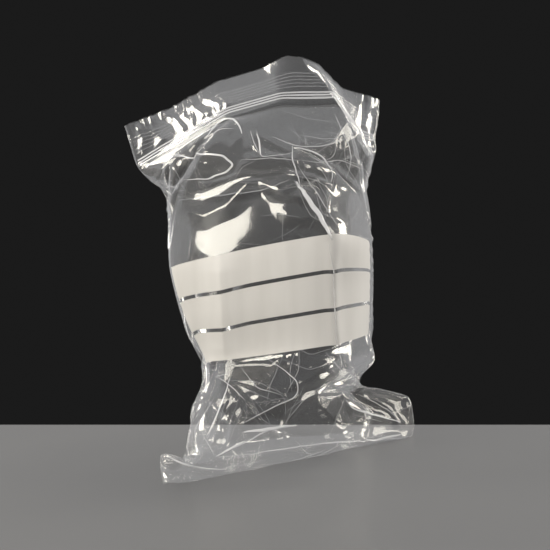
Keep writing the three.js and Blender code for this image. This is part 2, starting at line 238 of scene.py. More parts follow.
# How the film settles, from coarse to fine: rows and columns, steps, hold to the start shape, pressure,
# bending stiffness, and how hard the edges are held to the places above.
LEVELS = (
    ((43, 27), 400, 0.03, 0.06, 0.05, 0.3),
    ((85, 52), 400, 0.006, 0.03, 0.05, 0.2),
    ((168, 103), 300, 0.001, 0.012, 0.15, 0.1),
    ((252, 153), 160, 0.0, 0.005, 0.2, 0.1),
)
MOMENTUM = 0.85
LETTING_GO = 0.7
LENGTH_SWEEPS = 2
SHEAR_STIFFNESS = 0.6
OUTLINE_GRIP = 0.3
PRINT_GRIP = 0.5
FLOOR_CLEARANCE = 0.2
SEAL_SLACK = 0.1
START_NOISE = 1.0
START_NOISE_SEED = 3

# Fades over the flat bag. A rise is its start and its length, and a fall is its end and its length.
MOUTH_GRIP_RISE = (BELOW_ZIP - 8, 6)
AIR_RISE_LENGTH = 15
AIR_FALL_END = BELOW_ZIP - 3
AIR_FALL_LENGTH = 12
# The air leaves the lower corners flat: it grows from the side, and sooner higher up.
CORNER_RISE = (4, 26)
CORNER_HEIGHT = 60
CORNER_HEIGHT_SHARE = 0.6
# The front wall keeps its smooth start shape over the print, and above it higher at both sides.
SMOOTH_RISE = (84, 8)
SMOOTH_FALL_LENGTH = 8
SMOOTH_TOP = 156
SMOOTH_TOP_LEFT = 32
SMOOTH_TOP_LEFT_FALL = (78, 16)
SMOOTH_TOP_RIGHT = 24
SMOOTH_TOP_RIGHT_RISE = (90, 10)

# How the settled walls are finished. The softening is stronger low down and near the side edges.
SOFTENING_ROUNDS = 22
LEAST_SOFTENING = 0.12
MORE_SOFTENING = 0.48
LOW_SOFT_FALL = (100, 20)
SIDE_SOFT_FALL = (34, 20)
# The lower part goes back towards the start shape, by this share below the fall, and by more at the base.
RESTING = 0.65
RESTING_FALL = (94, 12)
BASE_RESTING = 0.27
BASE_RESTING_FALL = (62, 20)
SEAM_REACH = 18
# The ear at the lower right, where the walls lie nearly flat together.
EAR_ACROSS_RISE = (112, 14)
EAR_FOOT_RISE = (4, 8)
EAR_TOP_FALL = (54, 10)
EAR_FLATNESS = 0.85
LIP_CRUMPLE_RISE = (BELOW_ZIP + 1, 5)
CREASE_FALL = (BELOW_ZIP - 4, 6)
PRINT_RISE = (86, 6)
PRINT_FALL = (154, 6)
PRINT_SMOOTHING = 0.9

# The skin that is drawn: both walls stand a little out of the settled film, more at the mouth.
EDGE_FADE = 1.5
SEAL_LIFT = 0.1
SEAL_LIFT_REACH = 6
MOUTH_LIFT = 0.35
MOUTH_LIFT_RISE = (BELOW_ZIP - 6, 4)
# The lip's edge waves, least of all in its middle.
CALM_MIDDLE = 86
CALM_HALF_WIDTH = 26
CALM_FADE = 12
LEAST_RUFFLE = 0.15
RUFFLE_RISE = (FLAT_HEIGHT - 7, 7)
RUFFLE_WAVES = 5
RUFFLE_WAVELENGTHS = (2.2, 7.0)
RUFFLE_DEPTH = 0.3
FRONT_RUFFLE_SEED = 11
BACK_RUFFLE_SEED = 12

# How the pixels of a crease are looked for on a wall.
PATH_STEP = 2.0
LEAST_PATH_POINTS = 6
LEAST_FACING = 0.05
HIDDEN_COST = 1e6
FARTHEST_PIXEL = 3
LONGEST_JUMP = 6
PATH_ROUNDS = 4
# The bars that are drawn along creases and folds. Their milky haze is partly the film whitened at a crease
# and partly a painted highlight along it.
LINE_THICKNESS = 0.24
CRUMPLE_THICKNESS = 0.08
THICKEST_LINE = 0.42
WIDEST_LINED_CREASE = 6
HIGHEST_LINE = BELOW_ZIP - 5
LINE_SIDES = 5
FOLD_LIFT = 0.15
FOLD_THICKNESS = 0.3
FOLD_SIDES = 8
# How thick a bar is at its ends, as a share of its middle, and how blunt a fold's ends are.
LINE_END = 0.25
FOLD_END = 0.2
FOLD_BLUNTNESS = 0.7

# The clear plastics: their index, the most that they reflect, and how much more haze they have edge on.
FILM_INDEX = 1.5
MOST_MIRROR = 0.27
EDGE_HAZE = 4
MOST_EDGE_HAZE = 0.6

# The lamps: name, direction to the right, above and nearer, width and height in metres, and watts.
LAMPS = (
    ("left_softbox", (-0.815, -0.02, 0.579), 0.42, 0.36, 5.2),
    ("right_softbox", (0.9, -0.035, 0.434), 0.3, 0.3, 1.7),
    ("right_rim", (0.905, 0.25, -0.345), 0.24, 0.4, 2.5),
    ("left_rim", (-0.805, 0.588, 0.085), 0.24, 0.3, 1.3),
    ("top_softbox", (0.421, 0.906, 0.037), 0.2, 0.2, 1.2),
)
LAMP_DISTANCE = 0.8
LAMP_COLOUR = (1, 0.95, 0.84)
TABLE_FAR = 54.0
TABLE_NEAR = -900.0
TABLE_HALF_WIDTH = 900.0
SENSOR_WIDTH = 36.0


def seen_at(pixel_x, pixel_y, depth):
    """The point that the photograph shows at a pixel, at a depth away from the camera."""
    aside = (pixel_x - PHOTO_SIZE / 2) / PIXELS_PER_MM
    above = (PHOTO_SIZE / 2 - pixel_y) / PIXELS_PER_MM
    cos, sin = math.cos(ELEVATION), math.sin(ELEVATION)
    height = above * (CAMERA_DISTANCE + depth * cos) - CAMERA_DISTANCE * depth * sin
    height /= CAMERA_DISTANCE * cos + above * sin
    nearer = height * sin - depth * cos
    return np.array([aside * (1 - nearer / CAMERA_DISTANCE), depth, height + CAMERA_TARGET[2]])


def pixels_of(points):
    """Where the camera sees points: the reverse of seen_at."""
    from_target = points - CAMERA_TARGET
    nearer = from_target @ TOWARDS_CAMERA
    scale = PIXELS_PER_MM * CAMERA_DISTANCE / (CAMERA_DISTANCE - nearer)
    return PHOTO_SIZE / 2 + from_target[..., 0] * scale, PHOTO_SIZE / 2 - (from_target @ CAMERA_UP) * scale


def smooth_path(knots, values, at):
    """Cubic steps through values at uneven knots."""
    knots = np.asarray(knots, float)
    values = np.asarray(values, float)
    at = np.asarray(at, float)
    slope = np.empty_like(values)
    slope[1:-1] = ((values[2:] - values[:-2]).T / (knots[2:] - knots[:-2])).T
    slope[0] = (values[1] - values[0]) / (knots[1] - knots[0])
    slope[-1] = (values[-1] - values[-2]) / (knots[-1] - knots[-2])
    low = np.clip(np.searchsorted(knots, at, side="right") - 1, 0, len(knots) - 2)
    span = knots[low + 1] - knots[low]
    x = np.clip((at - knots[low]) / span, 0, 1)
    if values.ndim > 1:
        x, span = x[:, None], span[:, None]
    start = (2 * x**3 - 3 * x**2 + 1) * values[low] + (x**3 - 2 * x**2 + x) * span * slope[low]
    end = (3 * x**2 - 2 * x**3) * values[low + 1] + (x**3 - x**2) * span * slope[low + 1]
    return start + end


def along(points, shares):
    """Points at shares of a polyline's length."""
    steps = np.linalg.norm(np.diff(points, axis=0), axis=1)
    length = np.concatenate([[0], np.cumsum(steps)])
    at = np.asarray(shares) * length[-1]
    return np.stack([np.interp(at, length, points[:, k]) for k in range(3)], axis=1)


def bent_line(bends, across):
    """A straight run between each two bends."""
    knots = [bend[0] for bend in bends]
    places = np.array([bend[1] for bend in bends], float)
    return np.stack([np.interp(across, knots, places[:, k]) for k in range(3)], axis=1)


def swell(share, fullness):
    """The outline of half a section: up from 0 to 1, and the blunter the fuller."""
    return (1 - (1 - np.clip(share, 0, 1)) ** fullness) ** (1 / fullness)


def smoothstep(x):
    """0 below 0, 1 above 1, and smooth between."""
    x = np.clip(x, 0, 1)
    return x * x * (3 - 2 * x)


def rising(values, start, length):
    """0 up to the start, and 1 from a length after it."""
    return smoothstep((values - start) / length)


def falling(values, end, length):
    """1 up to a length before the end, and 0 from the end on."""
    return smoothstep((end - values) / length)


def start_shape(across, heights):
    """Both walls as the construction model draws them: puffed sections blended into the flat mouth."""
    knots = [station[0] for station in STATIONS]
    body_heights = np.minimum(heights, BELOW_ZIP)
    rails = [smooth_path(knots, [s[k] for s in STATIONS], body_heights) for k in range(1, 7)]
    left, right, front_crest, back_crest, front_share, fullness = rails
    zip_line, lip_line = (bent_line(bends, across) for bends in (ZIP_BENDS, LIP_BENDS))
    rise = (lip_line - zip_line) / LIP_HEIGHT
    blend = smoothstep((heights - BLEND_START) / (BLEND_END - BLEND_START))
    tuck = np.interp(body_heights, *np.array(LEFT_TUCK, float).T)
    chord = (1 - np.cos(np.linspace(0, np.pi, SECTION_POINTS))) / 2
    walls = []
    for crest in (front_crest, back_crest):
        rows = np.empty((len(heights), len(across), 3))
        for k, height in enumerate(heights):
            share = front_share[k] if crest is front_crest else BACK_CREST_SHARE
            part = np.where(chord < share, chord / share, (1 - chord) / (1 - share))
            lift = crest[k] - (left[k] + (right[k] - left[k]) * share)
            full = fullness[k] if crest is front_crest else max(fullness[k], BACK_LEAST_FULLNESS)
            line = left[k] + (right[k] - left[k]) * chord[:, None] + lift * swell(part, full)[:, None]
            seam = left[k] + TUCK_WAY * tuck[k]
            if crest is front_crest and tuck[k] > LEAST_TUCK:
                line = np.concatenate([[seam], line])
            elif crest is back_crest:
                line = line + (seam - left[k]) * (1 - chord[:, None]) ** 2
            body = along(line, across / FLAT_WIDTH)
            sheet = zip_line + rise * (height - BELOW_ZIP)
            rows[k] = body + (sheet - body) * blend[k]
        walls.append(rows)
    return walls


def finer(grid, shape):
    """Smooth resampling of a grid of points to more rows and columns."""
    for axis in (0, 1):
        lines = np.moveaxis(grid, axis, 0)
        count = lines.shape[0]
        flat = lines.reshape(count, -1)
        flat = smooth_path(np.arange(count), flat, np.linspace(0, count - 1, shape[axis]))
        grid = np.moveaxis(flat.reshape((shape[axis],) + lines.shape[1:]), 0, axis)
    return grid


def pull(a, b, rest, stiffness):
    """Moves both ends of every link towards its rest length."""
    link = b - a
    length = np.sqrt(np.einsum("...i,...i->...", link, link)) + 1e-9
    link *= (stiffness * 0.5 * (1 - rest / length))[..., None]
    a += link
    b -= link


def keep_lengths(grid, step_across, step_up):
    """One sweep over a film that hardly stretches: along both threads, then over both diagonals."""
    for start in (0, 1):
        pairs = (grid.shape[1] - start) // 2
        stop = start + 2 * pairs
        pull(grid[:, start:stop:2], grid[:, start + 1:stop + 1:2], step_across, 1.0)
        pairs = (grid.shape[0] - start) // 2
        stop = start + 2 * pairs
        pull(grid[start:stop:2], grid[start + 1:stop + 1:2], step_up, 1.0)
    diagonal = math.hypot(step_across, step_up)
    for start in (0, 1):
        pairs = (grid.shape[0] - start) // 2
        stop = start + 2 * pairs
        low, high = grid[start:stop:2], grid[start + 1:stop + 1:2]
        pull(low[:, :-1], high[:, 1:], diagonal, SHEAR_STIFFNESS)
        pull(low[:, 1:], high[:, :-1], diagonal, SHEAR_STIFFNESS)


def resist_bending(grid, stiffness):
    """Moves each point towards the middle of its neighbours, and them the other way, along both threads."""
    for axis in (0, 1):
        lines = np.moveaxis(grid, axis, 0)
        kink = ((lines[2:] + lines[:-2]) * 0.5 - lines[1:-1]) * (stiffness * 0.5)
        lines[1:-1] += kink
        kink *= 0.5
        lines[:-2] -= kink
        lines[2:] -= kink


def soften(grid, times, weight):
    """Averages out the finest waves inside a wall and leaves its edges where they are."""
    for _ in range(times):
        middle = grid[1:-1, 1:-1]
        around = grid[:-2, 1:-1] + grid[2:, 1:-1] + grid[1:-1, :-2] + grid[1:-1, 2:]
        middle += (around / 4 - middle) * weight[1:-1, 1:-1, None]


def outward(grid, side):
    """Unit normals of a wall: side is 1 for the front wall and -1 for the back one."""
    normal = np.cross(np.gradient(grid, axis=1), np.gradient(grid, axis=0))
    return normal * side / (np.linalg.norm(normal, axis=-1, keepdims=True) + 1e-9)


def join(front, back, where):
    """Puts both walls at their middle over the rows or columns that are welded or pressed together."""
    middle = (front[where] + back[where]) / 2
    front[where] = middle
    back[where] = middle


def keep_in_outline(wall):
    """Moves what shows outside the photograph's outline back towards it."""
    x, y = pixels_of(wall)
    rows, left, right = np.array(OUTLINE, float).T
    short = np.maximum(np.interp(y, rows, left) - x, 0) * (y > rows[0])
    over = np.maximum(x - np.interp(y, rows, right), 0) * (y > rows[0])
    wall[..., 0] += (short - over) / PIXELS_PER_MM * OUTLINE_GRIP


def crease_lift(wall, side, creases):
    """How far each point of a wall stands out along its creases: most at the line, none at the half width."""
    x, y = pixels_of(wall)
    lift = np.zeros(x.shape)
    for name, half_width, height, line in creases:
        if (name == "front") != (side > 0):
            continue
        ends = np.array(line, float)
        lengths = np.hypot(*np.diff(ends, axis=0).T)
        total = lengths.sum()
        nearest = np.full(x.shape, np.inf)
        run = np.zeros(x.shape)
        for k, length in enumerate(lengths):
            way = (ends[k + 1] - ends[k]) / length
            at = np.clip((x - ends[k, 0]) * way[0] + (y - ends[k, 1]) * way[1], 0, length)
            away = np.hypot(x - ends[k, 0] - at * way[0], y - ends[k, 1] - at * way[1])
            closer = away < nearest
            nearest = np.where(closer, away, nearest)
            run = np.where(closer, (lengths[:k].sum() + at) / total, run)
        tent = np.clip(1 - nearest / PIXELS_PER_MM / half_width, 0, 1) ** CREASE_SHARPNESS
        taper = np.clip(np.minimum(run, 1 - run) / CREASE_TAPER, 0, 1)
        lift = np.maximum(lift, height * tent * taper)
    return lift


def crumples(table):
    """A table's random creases, written out like the others."""
    rng = np.random.default_rng(CRUMPLE_SEED)
    found = []
    for name, count, middle, spread, slope, slope_spread, length in table:
        for _ in range(count):
            x, y = rng.normal(middle, spread)
            turn = math.radians(rng.normal(slope, slope_spread))
            bend = turn + math.radians(rng.normal(0, CRUMPLE_BEND_SPREAD))
            half = length * rng.uniform(*CRUMPLE_HALF_LENGTHS)
            line = (
                (x - half * math.cos(turn), y - half * math.sin(turn)),
                (x, y),
                (x + half * math.cos(bend), y + half * math.sin(bend)),
            )
            half_width = rng.uniform(*CRUMPLE_HALF_WIDTHS)
            found.append((name, half_width, half_width * rng.uniform(*CRUMPLE_STEEPNESS), line))
    return found


def edge_places(across, heights):
    """The left seam, the right seam and the bottom fold at their pixels and chosen depths."""
    return [
        smooth_path([r[0] for r in rows], [seen_at(*r[1:]) for r in rows], at)
        for rows, at in ((LEFT_SEAM, heights), (RIGHT_SEAM, heights), (BOTTOM_FOLD, across))
    ]


def distance_from_side(across):
    return np.minimum(across, FLAT_WIDTH - across)[None, :]


def in_seals(across):
    return (across <= SEAL_WIDTH + SEAL_SLACK) | (across >= FLAT_WIDTH - SEAL_WIDTH - SEAL_SLACK)


def air_push(across, heights, pressure):
    """How far the air moves each point in a step: not at all at the mouth, the fold and the lower corners."""
    below_mouth = np.clip((AIR_FALL_END - heights) / AIR_FALL_LENGTH, 0, 1)
    puffed = below_mouth * np.clip(heights / AIR_RISE_LENGTH, 0, 1)
    from_side = distance_from_side(across)
    above_corner = np.clip(heights[:, None] / CORNER_HEIGHT - CORNER_HEIGHT_SHARE, 0, 1)
    flat_corner = smoothstep((from_side - CORNER_RISE[0]) / CORNER_RISE[1] + above_corner)
    return (puffed[:, None] * flat_corner * pressure)[..., None]


def smooth_front(across, heights):
    """The part of the front wall that keeps its smooth start shape."""
    left_top = SMOOTH_TOP_LEFT * falling(across, *SMOOTH_TOP_LEFT_FALL)
    right_top = SMOOTH_TOP_RIGHT * rising(across, *SMOOTH_TOP_RIGHT_RISE)
    top = (SMOOTH_TOP + left_top + right_top)[None, :]
    return rising(heights[:, None], *SMOOTH_RISE) * falling(heights[:, None], top, SMOOTH_FALL_LENGTH)


def settle(front, back, starts, edges, across, heights, settings):
    """Lets both walls find their shape on one grid, between the air, the edges and the film's own lengths."""
    steps, hold, pressure, stiffness, grip = settings
    mouth = heights > BELOW_ZIP - ZIP_HALF_BAND
    mouth_grip = rising(heights, *MOUTH_GRIP_RISE)[:, None, None]
    push = air_push(across, heights, pressure)
    printed_grip = smooth_front(across, heights)[..., None] * PRINT_GRIP
    sealed = in_seals(across)
    walls = ((front, front.copy(), starts[0], 1), (back, back.copy(), starts[1], -1))
    for step in range(steps):
        pull_back = hold * (1 - LETTING_GO * step / steps)
        for wall, before, start, side in walls:
            drift = (wall - before) * MOMENTUM
            before[:] = wall
            wall += drift + outward(wall, side) * push
            wall_grip = np.maximum(pull_back, printed_grip) if side > 0 else pull_back
            wall += (start - wall) * np.maximum(wall_grip, mouth_grip)
            keep_in_outline(wall)
        for _ in range(LENGTH_SWEEPS):
            for wall in (front, back):
                keep_lengths(wall, across[1], heights[1])
                resist_bending(wall, stiffness)
                wall[:, 0] += (edges[0] - wall[:, 0]) * grip
                wall[:, -1] += (edges[1] - wall[:, -1]) * grip
                wall[0] += (edges[2] - wall[0]) * grip
                wall[..., 2] = np.maximum(wall[..., 2], FLOOR_CLEARANCE)
            join(front, back, (slice(None), sealed))
            join(front, back, slice(0, 1))
            join(front, back, mouth)


def finish_lower_part(front, back, starts, edges, across, heights):
    """Softens the walls, rests the lower part, brings the seams to their places and flattens the ear."""
    low_part = falling(heights[:, None], *LOW_SOFT_FALL)
    near_side = falling(distance_from_side(across), *SIDE_SOFT_FALL)
    below_grip = 1 - rising(heights, *MOUTH_GRIP_RISE)[:, None]
    weight = LEAST_SOFTENING + MORE_SOFTENING * np.maximum(low_part, near_side) * below_grip
    soften(front, SOFTENING_ROUNDS, weight)
    soften(back, SOFTENING_ROUNDS, weight)
    resting = RESTING * falling(heights, *RESTING_FALL) + BASE_RESTING * falling(heights, *BASE_RESTING_FALL)
    resting = resting[:, None, None]
    front += (starts[0] - front) * resting
    back += (starts[1] - back) * resting
    for wall in (front, back):
        for column, seam in ((0, edges[0]), (-1, edges[1])):
            near = smoothstep(1 - np.abs(across - across[column]) / SEAM_REACH)
            wall += (seam - wall[:, column])[:, None] * near[:, None]
    ear = rising(across[None, :], *EAR_ACROSS_RISE) * rising(heights[:, None], *EAR_FOOT_RISE)
    ear = (ear * falling(heights[:, None], *EAR_TOP_FALL))[..., None]
    middle = (front + back) / 2
    front += (middle - front) * ear * EAR_FLATNESS
    back += (middle - back) * ear * EAR_FLATNESS


def press_creases(front, back, across, heights):
    """Presses the lip's creases into both walls together, and then the creases below the mouth into each."""
    lip_part = rising(heights, *LIP_CRUMPLE_RISE)[:, None]
    lip_shift = outward(front, 1) * (crease_lift(front, 1, crumples(LIP_CRUMPLES)) * lip_part)[..., None]
    front += lip_shift
    back += lip_shift
    keep_in_outline(front)
    keep_in_outline(back)
    below_mouth = falling(heights, *CREASE_FALL)[:, None]
    printed = rising(heights, *PRINT_RISE) * falling(heights, *PRINT_FALL)
    off_print = 1 - PRINT_SMOOTHING * printed[:, None]
    for wall, side in ((front, 1), (back, -1)):
        random_lift = crease_lift(wall, side, crumples(CRUMPLES)) * off_print
        lift = np.maximum(crease_lift(wall, side, CREASES), random_lift) * below_mouth
        wall += outward(wall, side) * lift[..., None]
        wall[..., 2] = np.maximum(wall[..., 2], FLOOR_CLEARANCE)
    join(front, back, (slice(None), in_seals(across)))
    join(front, back, slice(0, 1))


def settled_film():
    """Both walls of the bag as grids of points, settled as thin film between the edges placed above."""
    rng = np.random.default_rng(START_NOISE_SEED)
    levels = LEVELS
    front = back = None
    for shape, *settings in levels:
        across = np.linspace(0, FLAT_WIDTH, shape[1])
        heights = np.linspace(0, FLAT_HEIGHT, shape[0])
        starts = start_shape(across, heights)
        if front is None:
            front, back = [start + rng.normal(0, START_NOISE, start.shape) for start in starts]
        else:
            front = finer(front, shape)
            back = finer(back, shape)
        edges = edge_places(across, heights)
        settle(front, back, starts, edges, across, heights, settings)
    finish_lower_part(front, back, starts, edges, across, heights)
    press_creases(front, back, across, heights)
    return front, back


def in_frame(points):
    """Stance millimetres to the frame's metres."""
    return (points + STANCE_SHIFT) * MM


def mesh_object(name, points, faces, material):
    """A smooth-shaded piece that rides on the part's one body."""
    mesh = bpy.data.meshes.new(name)
    mesh.from_pydata(in_frame(np.asarray(points)).tolist(), [], faces)
    mesh.materials.append(material)
    mesh.polygons.foreach_set("use_smooth", [True] * len(mesh.polygons))
    mesh.update()
    piece = bpy.data.objects.new(name, mesh)
    bpy.context.scene.collection.objects.link(piece)
    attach(piece, "root")
    return piece


def grid_faces(numbers, flip=False):
    """Quads between neighbours in a grid of vertex numbers."""
    a, b, c, d = numbers[:-1, :-1], numbers[:-1, 1:], numbers[1:, 1:], numbers[1:, :-1]
    corners = (a, d, c, b) if flip else (a, b, c, d)
    return np.stack([corner.ravel() for corner in corners], axis=1).tolist()


class Film:
    """The settled walls, with points and normals at any place of the flat bag."""

    def __init__(self, front, back):
        self.front = front
        self.back = back
        self.front_out = outward(front, 1)
        self.back_out = outward(back, -1)
        self.heights = np.linspace(0, FLAT_HEIGHT, front.shape[0])
        self.across = np.linspace(0, FLAT_WIDTH, front.shape[1])

    def sample(self, grid, across, heights):
        """A grid's values between its points."""
        x = np.asarray(across) / FLAT_WIDTH * (grid.shape[1] - 1)
        y = np.asarray(heights) / FLAT_HEIGHT * (grid.shape[0] - 1)
        j = np.clip(np.floor(x).astype(int), 0, grid.shape[1] - 2)
        k = np.clip(np.floor(y).astype(int), 0, grid.shape[0] - 2)
        fx = (x - j)[..., None]
        fy = (y - k)[..., None]
        low = grid[k, j] * (1 - fx) + grid[k, j + 1] * fx
        high = grid[k + 1, j] * (1 - fx) + grid[k + 1, j + 1] * fx
        return low * (1 - fy) + high * fy

    def front_at(self, across, heights, lift):
        """Places at a lift out of the front wall."""
        outwards = self.sample(self.front_out, across, heights)
        return self.sample(self.front, across, heights) + outwards * lift


def noise_wave(x, count, low, high, seed):
    """A smooth wiggle of a few seeded waves."""
    rng = np.random.default_rng(seed)
    total = np.zeros_like(x)
    for _ in range(count):
        total += np.sin(x * 2 * np.pi / rng.uniform(low, high) + rng.uniform(0, 2 * np.pi))
    return total / math.sqrt(count)


def tube(path, up, half_width, half_height, sides=6):
    """Points and faces of a closed bar along a path: an ellipse across it, with `up` as its height."""
    ahead = np.gradient(path, axis=0)
    ahead /= np.linalg.norm(ahead, axis=1, keepdims=True)
    aside = np.cross(ahead, up)
    aside /= np.linalg.norm(aside, axis=1, keepdims=True)
    up = np.cross(aside, ahead)
    turns = np.arange(sides) * 2 * np.pi / sides
    wide = np.broadcast_to(half_width, len(path))[:, None, None]
    high = np.broadcast_to(half_height, len(path))[:, None, None]
    ring = aside[:, None] * np.cos(turns)[None, :, None] * wide
    ring = ring + up[:, None] * np.sin(turns)[None, :, None] * high
    points = (path[:, None] + ring).reshape(-1, 3)
    faces = []
    for i in range(len(path) - 1):
        for k in range(sides):
            n = (k + 1) % sides
            faces.append((i * sides + k, i * sides + n, (i + 1) * sides + n, (i + 1) * sides + k))
    last = (len(path) - 1) * sides
    faces.append(tuple(range(sides))[::-1])
    faces.append(tuple(last + k for k in range(sides)))
    return points, faces


def bars_object(name, bars, material):
    """One piece made of several bars."""
    points, faces, start = [], [], 0
    for bar_points, bar_faces in bars:
        points.append(bar_points)
        faces += [tuple(start + n for n in face) for face in bar_faces]
        start += len(bar_points)
    return mesh_object(name, np.concatenate(points), faces, material)


def new_material(name):
    """An empty node material, with its nodes and links."""
    material = bpy.data.materials.new(name)
    material.use_nodes = True
    material.node_tree.nodes.clear()
    return material, material.node_tree.nodes, material.node_tree.links


def add_node(nodes, kind, values=None):
    """A new node, with inputs set by name."""
    node = nodes.new(kind)
    for name, value in (values or {}).items():
        node.inputs[name].default_value = value
    return node


def clear_plastic(name, haze, roughness, mirror):
    """Thin clear film: what is behind it, its two faces' reflection, and a little milky scatter."""
    material, nodes, links = new_material(name)
    place = add_node(nodes, "ShaderNodeTexCoord")
    grain = add_node(nodes, "ShaderNodeTexNoise", {"Scale": 260.0, "Detail": 2.0})
    links.new(place.outputs["Object"], grain.inputs["Vector"])
    bump = add_node(nodes, "ShaderNodeBump", {"Strength": 0.25, "Distance": 0.00012})
    links.new(grain.outputs["Fac"], bump.inputs["Height"])

    through = add_node(nodes, "ShaderNodeBsdfTransparent", {"Color": (0.985, 0.987, 0.99, 1)})
    scatter = add_node(nodes, "ShaderNodeBsdfDiffuse", {"Color": (0.95, 0.95, 0.96, 1)})
    glow = add_node(nodes, "ShaderNodeBsdfTranslucent", {"Color": (0.95, 0.95, 0.96, 1)})
    milky = add_node(nodes, "ShaderNodeMixShader", {"Fac": 0.5})
    links.new(scatter.outputs[0], milky.inputs[1])
    links.new(glow.outputs[0], milky.inputs[2])

    edge = add_node(nodes, "ShaderNodeLayerWeight", {"Blend": 0.5})
    haze_amount = add_node(nodes, "ShaderNodeMapRange", {
        "To Min": haze,
        "To Max": min(haze * EDGE_HAZE, max(haze, MOST_EDGE_HAZE)),
    })
    links.new(edge.outputs["Facing"], haze_amount.inputs["Value"])
    body = add_node(nodes, "ShaderNodeMixShader")
    links.new(haze_amount.outputs[0], body.inputs["Fac"])
    links.new(through.outputs[0], body.inputs[1])
    links.new(milky.outputs[0], body.inputs[2])

    shine = add_node(nodes, "ShaderNodeBsdfGlossy", {"Color": (1, 1, 1, 1), "Roughness": roughness})
    links.new(bump.outputs[0], shine.inputs["Normal"])
    fresnel = add_node(nodes, "ShaderNodeFresnel", {"IOR": FILM_INDEX})
    links.new(bump.outputs[0], fresnel.inputs["Normal"])
    both_faces = add_node(nodes, "ShaderNodeMath")
    both_faces.operation = "MULTIPLY"
    both_faces.use_clamp = True
    both_faces.inputs[1].default_value = mirror
    links.new(fresnel.outputs[0], both_faces.inputs[0])
    at_most = add_node(nodes, "ShaderNodeMath")
    at_most.operation = "MINIMUM"
    at_most.inputs[1].default_value = MOST_MIRROR
    links.new(both_faces.outputs[0], at_most.inputs[0])
    surface = add_node(nodes, "ShaderNodeMixShader")
    links.new(at_most.outputs[0], surface.inputs["Fac"])
    links.new(body.outputs[0], surface.inputs[1])
    links.new(shine.outputs[0], surface.inputs[2])
    output = add_node(nodes, "ShaderNodeOutputMaterial")
    links.new(surface.outputs[0], output.inputs["Surface"])
    return material


def white_ink():
    """Satin white print with faint bands down it, from the film that it is printed on."""
    material, nodes, links = new_material("white_ink")
    place = add_node(nodes, "ShaderNodeTexCoord")
    stretch = add_node(nodes, "ShaderNodeMapping", {"Scale": (1, 0.4, 0.12)})
    links.new(place.outputs["Object"], stretch.inputs["Vector"])
    bands = add_node(nodes, "ShaderNodeTexNoise", {"Scale": 90.0, "Detail": 3.0})
    links.new(stretch.outputs[0], bands.inputs["Vector"])
    tone = add_node(nodes, "ShaderNodeValToRGB")
    tone.color_ramp.elements[0].position = 0.3
    tone.color_ramp.elements[0].color = (0.56, 0.544, 0.524, 1)
    tone.color_ramp.elements[1].position = 0.7
    tone.color_ramp.elements[1].color = (0.63, 0.614, 0.594, 1)
    links.new(bands.outputs["Fac"], tone.inputs["Fac"])
    grain = add_node(nodes, "ShaderNodeTexNoise", {"Scale": 1500.0})
    links.new(place.outputs["Object"], grain.inputs["Vector"])
    bump = add_node(nodes, "ShaderNodeBump", {"Strength": 0.15, "Distance": 0.0001})
    links.new(grain.outputs["Fac"], bump.inputs["Height"])
    surface = add_node(nodes, "ShaderNodeBsdfPrincipled", {"Roughness": 0.5, "Specular IOR Level": 0.35})
    links.new(tone.outputs[0], surface.inputs["Base Color"])
    links.new(bump.outputs[0], surface.inputs["Normal"])
    output = add_node(nodes, "ShaderNodeOutputMaterial")
    links.new(surface.outputs[0], output.inputs["Surface"])
    return material


def bag_walls(film, material):
    """The film as one skin: both walls share the side edges and the bottom fold and are open at the lip."""
    rows, columns = film.front.shape[:2]
    heights = film.heights[:, None]
    across = film.across[None, :]
    from_side = np.minimum(across, FLAT_WIDTH - across)
    edge_fade = np.clip(from_side / EDGE_FADE, 0, 1)
    mouth = rising(heights, *MOUTH_LIFT_RISE)
    lift = edge_fade * (SEAL_LIFT * (from_side < SEAL_LIFT_REACH) + MOUTH_LIFT * mouth)
    outer_lips = np.clip((np.abs(across - CALM_MIDDLE) - CALM_HALF_WIDTH) / CALM_FADE, LEAST_RUFFLE, 1)
    ruffle = rising(heights, *RUFFLE_RISE) * edge_fade * outer_lips
    front_wave, back_wave = [
        noise_wave(across[0], RUFFLE_WAVES, *RUFFLE_WAVELENGTHS, seed)[None, :] * ruffle * RUFFLE_DEPTH
        for seed in (FRONT_RUFFLE_SEED, BACK_RUFFLE_SEED)
    ]
    front = film.front + film.front_out * (lift + front_wave)[..., None]
    back = film.back + film.back_out * (lift - back_wave)[..., None]
    numbers = np.arange(rows * columns).reshape(rows, columns)
    back_numbers = numbers + rows * columns
    back_numbers[:, 0] = numbers[:, 0]
    back_numbers[:, -1] = numbers[:, -1]
    back_numbers[0] = numbers[0]
    used = np.unique(np.concatenate([numbers.ravel(), back_numbers.ravel()]))
    renumber = np.full(2 * rows * columns, -1)
    renumber[used] = np.arange(len(used))
    points = np.concatenate([front.reshape(-1, 3), back.reshape(-1, 3)])[used]
    faces = grid_faces(renumber[numbers]) + grid_faces(renumber[back_numbers], flip=True)
    return mesh_object("bag_walls", points, faces, material)


def write_panel(name, low, film, material):
    """One printed field, just proud of the front wall."""
    heights = np.linspace(low, low + PANEL_HEIGHT, int(PANEL_HEIGHT) + 1)
    across = np.linspace(PANEL_SIDE_MARGIN, FLAT_WIDTH - PANEL_SIDE_MARGIN, PANEL_POINTS_ACROSS)
    grid = np.meshgrid(across, heights)
    points = film.front_at(*grid, INK_LIFT)
    numbers = np.arange(points[..., 0].size).reshape(points.shape[:2])
    panel = mesh_object(name + "_ink", points.reshape(-1, 3), grid_faces(numbers), material)
    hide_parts(name)
    return panel


def bar_across(film, margin, height, lift, half_width, half_height):
    """A bar from side to side at one height of the flat bag."""
    across = np.linspace(margin, FLAT_WIDTH - margin, BAR_POINTS)
    heights = np.full_like(across, height)
    up = film.sample(film.front_out, across, heights)
    return tube(film.front_at(across, heights, lift), up, half_width, half_height)


